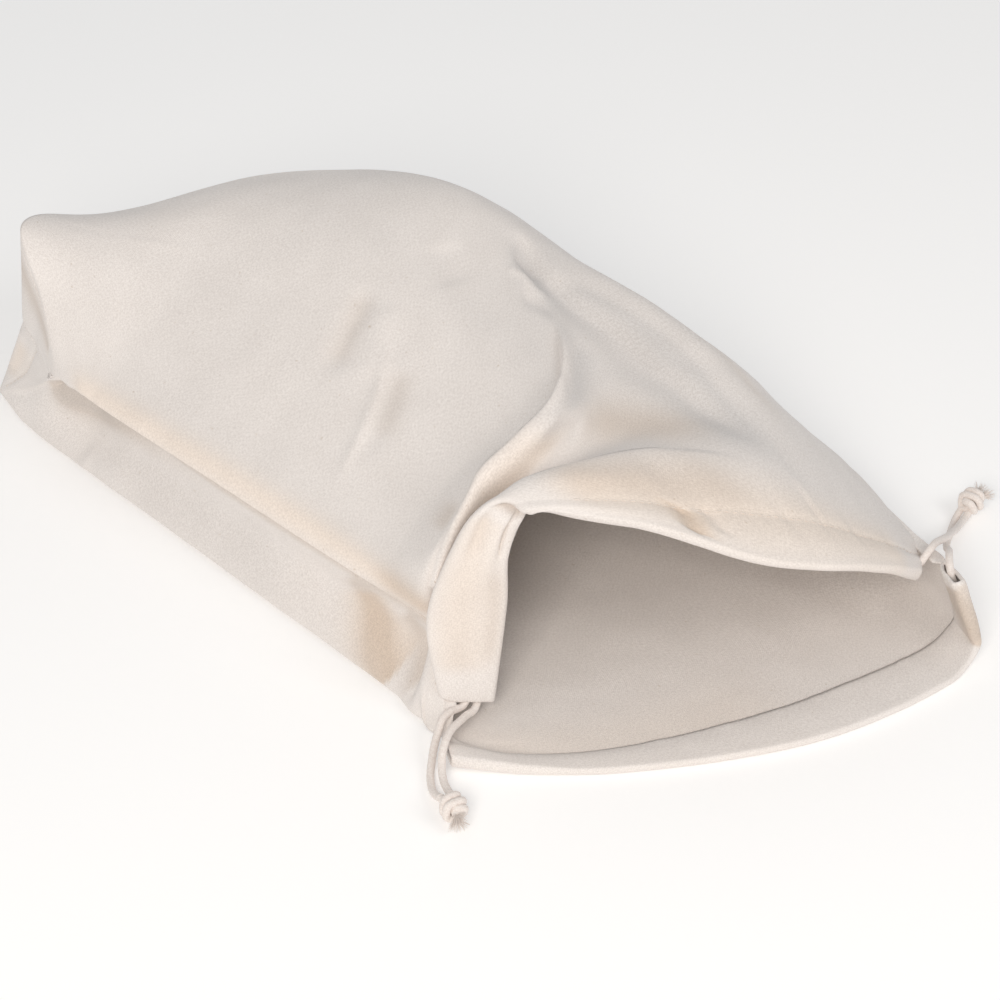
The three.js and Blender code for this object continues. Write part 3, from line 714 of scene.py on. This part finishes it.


# painted light and shade on the cloth's colour: warmer where light bounces, darker in painted shade, cooler
# in painted cool shade, lighter in painted highlights; height is the amount
hemPucker = [(449, 165), (464, 158)]
farTube = [(476, 264), (486, 286), (494, 304)]
frontPaintedLight = dict(
    # painted warmth of light bounced on the cuff, leg, ridge flank, seam band, valley and hem pucker
    paintedBounceWarmth=[
        dict(name="cuff", way=[(440, 112), (448, 160), (452, 230), (456, 296)], height=0.8, width=24,
             fades=(0.1, 0.1)),
        dict(name="leg", way=[(446, 10), (446, 50), (446, 90)], height=0.5, width=24, fades=(0.1, 0.1)),
        dict(name="ridge flank", way=[(366, 44), (361, 90), (362, 128)], height=0.7, width=12),
        dict(name="band above the seam", way=[(80, 2), (150, 4), (250, 6), (370, 8)], height=0.75, width=10,
             fades=(0.1, 0.05)),
        dict(name="far strip", way=[(290, 226), (340, 232), (400, 248)], height=0.4, width=12),
        dict(name="valley", way=[(376, 140), (392, 176), (410, 210)], height=0.35, width=20),
        dict(name="hem pucker", way=hemPucker, height=0.8, width=8, fades=(0.05, 0.05)),
    ],
    # painted shade in the base sliver, valley, contact beside the ridge, under the pinch, beside the leg and
    # in troughs
    shade=[
        dict(name="base sliver", way=[(48, 14), (46, 40), (44, 76)], height=1.0, width=14, leftWidth=20,
             fades=(0.05, 0.1)),
        dict(name="valley", way=[(372, 130), (384, 156), (394, 182), (412, 214)], height=0.8, width=16,
             fades=(0.15, 0.3)),
        dict(name="contact left of the ridge", way=[(344, 48), (342, 56), (340, 66)], height=0.9, width=6,
             leftWidth=11, fades=(0.35, 0.4)),
        dict(name="cuff slope", way=[(430, 112), (436, 150), (438, 210)], height=0.8, width=14),
        dict(name="leg edge", way=[(464, 12), (464, 40), (462, 62)], height=0.6, width=8),
        dict(name="leg", way=[(446, 10), (446, 40), (446, 70)], height=0.3, width=24, fades=(0.1, 0.2)),
        dict(name="band by the leg", way=[(316, 4), (340, 9), (368, 12)], height=1.0, width=13,
             fades=(0.4, 0.05)),
        dict(name="hem pucker", way=hemPucker, height=1.1, width=6, fades=(0.05, 0.05)),
        dict(name="pinch", way=[(436, 96), (448, 97), (466, 94)], height=1.4, width=3.4, fades=(0.3, 0)),
        dict(name="leg trough", way=[(438, 94), (444, 80), (446, 62)], height=0.35, width=8),
        dict(name="dip right of the wrinkle", way=[(266, 90), (274, 74), (282, 56)], height=0.5, width=9),
        dict(name="upper trough", way=[(224, 108), (230, 94), (236, 70)], height=0.5, width=9),
    ],
    # painted cool shade in creases that face away from the lamps
    paintedCoolShade=[
        dict(name="long crease", way=[(296, 185), (312, 192), (344, 203), (381, 212), (401, 218), (424, 228)],
             height=1.5, width=17, leftWidth=8, fades=(0.15, 0.2)),
        dict(name="behind the ridge top", way=[(336, 176), (346, 162), (354, 148), (360, 136)], height=0.9,
             width=8, leftWidth=12, fades=(0.2, 0.2)),
        dict(name="above the ridge top", way=[(264, 184), (284, 186), (302, 178), (318, 176)], height=1.1,
             width=12),
    ],
    # painted highlights on the ridge strip, the band above the seam and the far top
    light=[
        dict(name="ridge strip", way=[(361, 30), (356, 46), (353, 70), (352, 100), (350, 118), (344, 138),
                                      (338, 152), (328, 162)],
             height=1.0, width=5.5, leftWidth=4, fades=(0.02, 0.1)),
        dict(name="band above the seam", way=[(90, 2), (150, 3), (250, 5), (350, 6)], height=0.6, width=8,
             fades=(0.1, 0.1)),
        dict(name="far top", way=[(60, 150), (110, 190), (170, 212)], height=1.0, width=50,
             fades=(0.05, 0.3)),
    ],
)
# the back panel's painted light and shade, in the same four kinds
backPaintedLight = dict(
    # painted warmth of light bounced beside the leg, on the flap, the base facet and in the far tube
    paintedBounceWarmth=[
        dict(name="wall by the leg", way=[(312, 10), (324, 26), (346, 36)], height=1.0, width=18,
             fades=(0.1, 0.05)),
        dict(name="flap", way=[(448, 10), (452, 90), (456, 180)], height=0.4, width=34),
        dict(name="base facet", way=[(10, 60), (30, 60), (50, 66)], height=0.6, width=14),
        dict(name="far tube", way=farTube, height=0.8, width=18, fades=(0.1, 0.05)),
    ],
    # painted shade beside the leg, under the base corner, along the seam and in the far tube
    shade=[
        dict(name="wall by the leg", way=[(306, 4), (318, 18), (330, 32), (344, 40)], height=1.3, width=13,
             fades=(0.1, 0.05)),
        dict(name="corner by the leg", way=[(340, 6), (356, 20), (368, 30)], height=1.0, width=14,
             fades=(0.1, 0.05)),
        dict(name="under the base corner", way=[(66, 4), (78, 12), (96, 15), (126, 12), (170, 7), (240, 3)],
             height=2.0, width=10, fades=(0.02, 0.8)),
        dict(name="along the seam", way=[(100, 0), (250, 0), (380, 0)], height=1.0, width=6,
             fades=(0.05, 0.05)),
        dict(name="far tube", way=farTube, height=1.3, width=18, fades=(0.1, 0.05)),
    ],
    # painted cool shade on the wall, under the base corner and in the far tube
    paintedCoolShade=[
        dict(name="wall", way=[(120, 26), (200, 24), (280, 22)], height=0.5, width=24, fades=(0.2, 0.2)),
        dict(name="under the base corner", way=[(70, 8), (88, 14), (116, 14), (170, 8)], height=1.3, width=9,
             fades=(0.05, 0.7)),
        dict(name="far tube", way=[(478, 272), (486, 288), (494, 304)], height=0.9, width=16,
             fades=(0.1, 0.05)),
    ],
    # painted highlight on the base facet
    light=[
        dict(name="base facet", way=[(8, 66), (24, 64), (40, 68)], height=0.8, width=14, fades=(0.05, 0.1)),
    ],
)


# how uneven the cloth is: soft waves, and the pull of the hem's stitches and of the side seams
uneven = dict(wave=0.55, waveSize=46, ripple=0.22, rippleSize=17, stitchInset=1.5, stitchPucker=0.9,
              stitchReach=9.0, stitchSize=11, stitchDip=0.6, stitchDipReach=2.0, seamPucker=0.5,
              seamReach=8.0, seamSize=13, seamDip=0.3, seamDipReach=2.6)


def puckersAlong(places, seed, size):
    return np.array([noise.noise(Vector((place / size, seed, 0.5)))
                     + 0.5 * noise.noise(Vector((place / (size * 0.45), seed + 4, 0.2))) for place in places])


def clothRelief(settings, alongPlaces, acrossPlaces):
    seed = settings["seed"]
    relief, push = foldRelief(settings["folds"], alongPlaces, acrossPlaces)
    relief += uneven["wave"] * unevenness(alongPlaces, acrossPlaces, uneven["waveSize"], seed)
    relief += uneven["ripple"] * unevenness(alongPlaces, acrossPlaces, uneven["rippleSize"], seed + 9)
    stitchAlong = alongPlaces[-1] - hem["width"] + uneven["stitchInset"]
    fromStitch = (alongPlaces - stitchAlong)[:, None]
    puckers = puckersAlong(acrossPlaces, seed, uneven["stitchSize"])[None, :]
    pulled = np.interp(acrossPlaces, *zip(*settings["stitchPull"]))[None, :]
    relief += pulled * puckers * uneven["stitchPucker"] * np.exp(-np.abs(fromStitch) / uneven["stitchReach"])
    relief -= pulled * uneven["stitchDip"] * np.exp(-(fromStitch / uneven["stitchDipReach"]) ** 2)
    swell = np.clip((alongPlaces - stitchAlong) / hem["width"], 0, 1)[:, None]
    relief += settings["hemSwell"] * np.sin(np.pi * swell) ** 2
    for side in (0, 1):
        fromSeam = acrossPlaces if side == 0 else settings["stations"]["seamB"] - acrossPlaces
        puckers = puckersAlong(alongPlaces, seed + 20 + side, uneven["seamSize"])[:, None]
        relief += puckers * uneven["seamPucker"] * np.exp(-fromSeam / uneven["seamReach"])[None, :]
        relief -= uneven["seamDip"] * np.exp(-(fromSeam / uneven["seamDipReach"]) ** 2)[None, :]
    # along the near seam the allowance inside pushes a narrow band outwards
    if "seamBand" in settings:
        bandPlaces, bandWidths, bandDepths = zip(*settings["seamBand"])
        away = acrossPlaces[None, :] / np.interp(alongPlaces, bandPlaces, bandWidths)[:, None]
        relief -= np.interp(alongPlaces, bandPlaces, bandDepths)[:, None] * away * np.exp(1 - away)
    return relief, push


# the hem turns in over the drawstring and comes back to its line of stitches
def turnedHem(settings, panel, base):
    points = panel["points"]
    alongPlaces = panel["alongPlaces"]
    edgeAlong = panel["edgeAlong"]
    hemNormals = gridNormals(smoothed(base, 5)) * settings["outward"]
    edge = points[-1]
    edgeNormal = smoothed(hemNormals[-1:], 3)[0]
    forward = unitVectors(edge - points[-3])
    channel = np.interp(panel["acrossPlaces"], *zip(*settings["channel"]))[:, None]
    radius = channel / 2
    flatten = hem["edgeRadius"] / hem["channel"] * 2
    rows = []
    rowNormals = []
    uvAlong = list(alongPlaces)
    for turn in range(1, hem["turnRows"] + 1):
        angle = math.pi * turn / hem["turnRows"]
        rows.append(edge - edgeNormal * radius * (1 - math.cos(angle))
                    + forward * radius * flatten * math.sin(angle))
        rowNormals.append(edgeNormal * math.cos(angle) + forward * math.sin(angle))
        uvAlong.append(edgeAlong + hem["channel"] / 2 * angle)
    for step in range(1, hem["returnRows"] + 1):
        back = step / hem["returnRows"]
        k = np.interp(edgeAlong - back * hem["width"], alongPlaces, np.arange(len(alongPlaces)))
        low = int(k)
        high = min(low + 1, len(alongPlaces) - 1)
        spot = points[low] + (points[high] - points[low]) * (k - low)
        spotNormal = hemNormals[low] + (hemNormals[high] - hemNormals[low]) * (k - low)
        closing = back ** 4
        depth = channel * (1 - closing) + (cloth["thickness"] + hem["stitchGap"]) * closing
        rows.append(spot - spotNormal * depth)
        rowNormals.append(-edgeNormal)
        uvAlong.append(edgeAlong + hem["channel"] / 2 * math.pi + back * hem["width"])
    rows = np.array(rows)
    rows[:, :, 2] = np.maximum(rows[:, :, 2], settings["lowest"])
    return np.concatenate([points, rows]), np.concatenate([panel["normals"], rowNormals]), np.array(uvAlong)


rim = dict(rollSteps=4, allowanceSteps=3, curlTurn=150, curlSize=0.62, curlBack=0.06, curlDrop=0.02,
           bend=1.6, slitLead=3, slitFade=5.0, aim=(-150, 0.4, 40))


# an edge rolls in to its seam and the allowance runs on inside; where it is slit it curls under instead
def rolledEdge(edge, outwards, edgeNormal, slit=0):
    roll = cloth["seamRoll"]
    aimX, aimY, aimZ = rim["aim"]
    inside = np.stack([np.maximum(edge[:, 0], aimX), aimY * edge[:, 1], np.full(len(edge), float(aimZ))], 1)
    inwards = unitVectors(inside - edge)
    strips = []
    places = []
    for turn in range(1, rim["rollSteps"] + 1):
        angle = math.radians(90) * turn / rim["rollSteps"]
        rolled = edge + outwards * roll * math.sin(angle) - edgeNormal * roll * (1 - math.cos(angle))
        angleUnder = math.radians(rim["curlTurn"]) * turn / rim["rollSteps"]
        under = outwards * math.sin(angleUnder) - edgeNormal * (1 - math.cos(angleUnder))
        strips.append(rolled * (1 - slit) + (edge + under * roll * rim["curlSize"]) * slit)
        places.append(roll * angle)
    last = strips[-1]
    for step in range(1, rim["allowanceSteps"] + 1):
        run = cloth["allowance"] * step / rim["allowanceSteps"]
        under = last - outwards * run * rim["curlBack"] - edgeNormal * rim["curlDrop"] * run
        strips.append((last + inwards * run) * (1 - slit) + under * slit)
        places.append(roll * rim["bend"] + run)
    return np.array(strips), np.array(places)


def withRolledEdges(panel, grid, normals, uvAlong):
    slitStart = panel["edgeAlong"] - hem["width"] - rim["slitLead"]
    slit = np.clip((uvAlong - slitStart) / rim["slitFade"], 0, 1)[:, None]
    near, nearPlaces = rolledEdge(grid[:, 0], unitVectors(grid[:, 0] - grid[:, 2]), normals[:, 0], slit)
    far, farPlaces = rolledEdge(grid[:, -1], unitVectors(grid[:, -1] - grid[:, -3]), normals[:, -1], slit)
    grid = np.concatenate([near[::-1].transpose(1, 0, 2), grid, far.transpose(1, 0, 2)], axis=1)
    places = panel["acrossPlaces"]
    uvAcross = np.concatenate([places[0] - nearPlaces[::-1], places, places[-1] + farPlaces])
    baseNormal = np.concatenate([np.repeat(normals[0, :1], len(near), axis=0), normals[0],
                                 np.repeat(normals[0, -1:], len(far), axis=0)])
    base, basePlaces = rolledEdge(grid[0], unitVectors(grid[0] - grid[2]), baseNormal)
    grid = np.concatenate([base[::-1], grid])
    uvAlong = np.concatenate([uvAlong[0] - basePlaces[::-1], uvAlong])
    return dict(panel, grid=grid, uvAlong=uvAlong, uvAcross=uvAcross)


def buildPanel(settings):
    sections = settings["sections"]
    stations = settings["stations"]
    lowest = settings["lowest"]
    edgeAlong = sections[-1]["along"]
    inset = cloth["edgeInset"] + cloth["seamRoll"]
    acrossPlaces = evenPlaces(inset, stations["seamB"] - inset, cloth["step"])
    alongPlaces = spacedPlaces(inset, edgeAlong, settings["rowSteps"])
    base = panelPoints(sections, stations, alongPlaces, acrossPlaces, lowest, settings["seamLift"])
    normals = gridNormals(smoothed(base, 2)) * settings["outward"]
    relief, push = clothRelief(settings, alongPlaces, acrossPlaces)
    points = (base + normals * relief[:, :, None]
              + unitVectors(np.gradient(base, axis=0)) * push[:, :, :1]
              + unitVectors(np.gradient(base, axis=1)) * push[:, :, 1:])
    # nothing goes below the surface that the bag lies on
    points[:, :, 2] = np.maximum(points[:, :, 2], np.minimum(base[:, :, 2], lowest + 0.4))
    points[:, :, 2] = np.maximum(points[:, :, 2], lowest)
    panel = dict(points=points, normals=normals, alongPlaces=alongPlaces, acrossPlaces=acrossPlaces,
                 edgeAlong=edgeAlong)
    return withRolledEdges(panel, *turnedHem(settings, panel, base))


def panelObject(name, panel, outward, paintedLightTones):
    grid = panel["grid"]
    rows, columns = grid.shape[:2]
    bm = bmesh.new()
    bmesh.ops.create_grid(bm, x_segments=columns - 1, y_segments=rows - 1, size=1)
    uvLayer = bm.loops.layers.uv.new("cut")
    # the painted light and shade amounts are stored on each vertex as attributes
    amounts = {label: foldRelief(folds, panel["uvAlong"], panel["uvAcross"])[0]
               for label, folds in paintedLightTones.items()}
    paintedLightLayers = [(bm.verts.layers.float.new(label), amounts[label]) for label in paintedLightTones]
    bm.verts.ensure_lookup_table()
    for vert in bm.verts:
        i, j = divmod(vert.index, columns)
        vert.co = toFrame(grid[i, j])
        for layer, amount in paintedLightLayers:
            vert[layer] = amount[i, j]
    for face in bm.faces:
        for loop in face.loops:
            i, j = divmod(loop.vert.index, columns)
            loop[uvLayer].uv = (panel["uvAcross"][j] * mm, panel["uvAlong"][i] * mm)
    if outward > 0:
        bmesh.ops.reverse_faces(bm, faces=bm.faces[:])
    piece = meshFromBmesh(name, bm)
    thick = piece.modifiers.new("cloth", "SOLIDIFY")
    thick.thickness = cloth["thickness"] * mm
    thick.offset = 0
    return piece


# channel is the casing's depth across the cloth, stitchPull how hard its stitches pull there, rowSteps
# the spacing of rows along the cloth, and seamBand the place, width and depth of the dip by the near seam
panelSettings = dict(
    frontPanel=dict(stations=frontStations, sections=frontSections, lowest=-1e9, outward=1,
                    folds=frontFolds, seed=3, hemSwell=0.9, seamLift=-0.7,
                    channel=[(0, 5.9), (80, 5.9), (130, 4.2), (270, 4.2), (300, 5.9)],
                    stitchPull=[(0, 0.15), (120, 0.2), (160, 1.0), (310, 1.1)],
                    rowSteps=[(0, 2.2), (57, 1.1), (79, 2.3), (220, 1.9), (322, 1.2), (376, 2.0), (440, 1.4)],
                    seamBand=[(68, 4, -0.3), (100, 5, -1.2), (150, 7, -1.8), (200, 8, -2.2), (300, 10, -2.6),
                              (350, 12, -2.2), (380, 12, -0.8), (400, 14, 0)],
                    paintedLightTones=frontPaintedLight, node="front_panel", restsOn=["backPanel"]),
    backPanel=dict(stations=backStations, sections=backSections, lowest=cloth["thickness"] / 2,
                   outward=-1, folds=backFolds, seed=31, hemSwell=0.5, seamLift=0.7,
                   channel=[(0, 5.9), (30, 5.5), (60, 3.0), (250, 3.0), (290, 5.9)],
                   stitchPull=[(0, 0.5), (310, 0.7)], rowSteps=[(0, 2.4), (54, 2.0), (74, 2.4), (440, 1.6)],
                   paintedLightTones=backPaintedLight, node="back_panel", restsOn=[]),
)
panels = {name: buildPanel(settings) for name, settings in panelSettings.items()}
panelObjects = {name: panelObject(name, panels[name], settings["outward"], settings["paintedLightTones"])
                for name, settings in panelSettings.items()}

print("stitches")

# sewing thread: short stitches laid on the cloth along a line of places
stitch = dict(length=2.5, gap=1.1, diameter=0.5, sides=5, first=1.0, endsRaised=0.2)
stitchLines = [
    dict(panel="frontPanel", way=[(449.5, 120), (449.5, 200), (449.5, 304)], lift=0.55),
    dict(panel="frontPanel", way=[(462.5, 93), (462, 84), (463, 74), (465, 66)], lift=0.35),
    dict(panel="backPanel", way=baseStitching, lift=0.35),
]


# a point on the panel's outer face, raised above it
def spotOn(panel, along, across, raised):
    row = np.interp(along, panel["alongPlaces"], np.arange(len(panel["alongPlaces"])))
    column = np.interp(across, panel["acrossPlaces"], np.arange(len(panel["acrossPlaces"])))
    i = min(int(row), len(panel["alongPlaces"]) - 2)
    j = min(int(column), len(panel["acrossPlaces"]) - 2)
    u, v = row - i, column - j
    corners = panel["points"][i:i + 2, j:j + 2]
    sides = corners[:, 0] * (1 - v) + corners[:, 1] * v
    return toFrame(sides[0] * (1 - u) + sides[1] * u + panel["normals"][i, j] * raised)


stitchMesh = bmesh.new()
stitchUv = stitchMesh.loops.layers.uv.new("cut")
for line in stitchLines:
    corners = np.array(line["way"], float)
    route = throughKnots(range(len(corners)), corners, np.linspace(0, len(corners) - 1, 400))
    travelled = np.concatenate([[0], np.cumsum(np.linalg.norm(np.diff(route, axis=0), axis=1))])
    start = stitch["first"]
    while start + stitch["length"] < travelled[-1]:
        spots = []
        for part in (0, 0.33, 0.67, 1):
            at = start + part * stitch["length"]
            along, across = np.interp(at, travelled, route[:, 0]), np.interp(at, travelled, route[:, 1])
            raised = line["lift"] * (1.0 if 0 < part < 1 else stitch["endsRaised"])
            spots.append(spotOn(panels[line["panel"]], along, across, raised))
        addTube(stitchMesh, spots, stitch["diameter"] / 2 * mm, stitch["sides"], stitchUv)
        start += stitch["length"] + stitch["gap"]
finishPiece(meshFromBmesh("stitches", stitchMesh), threadMaterial)

for name, piece in panelObjects.items():
    finishPiece(piece, bagMaterial, panelSettings[name]["node"])

print("finish")
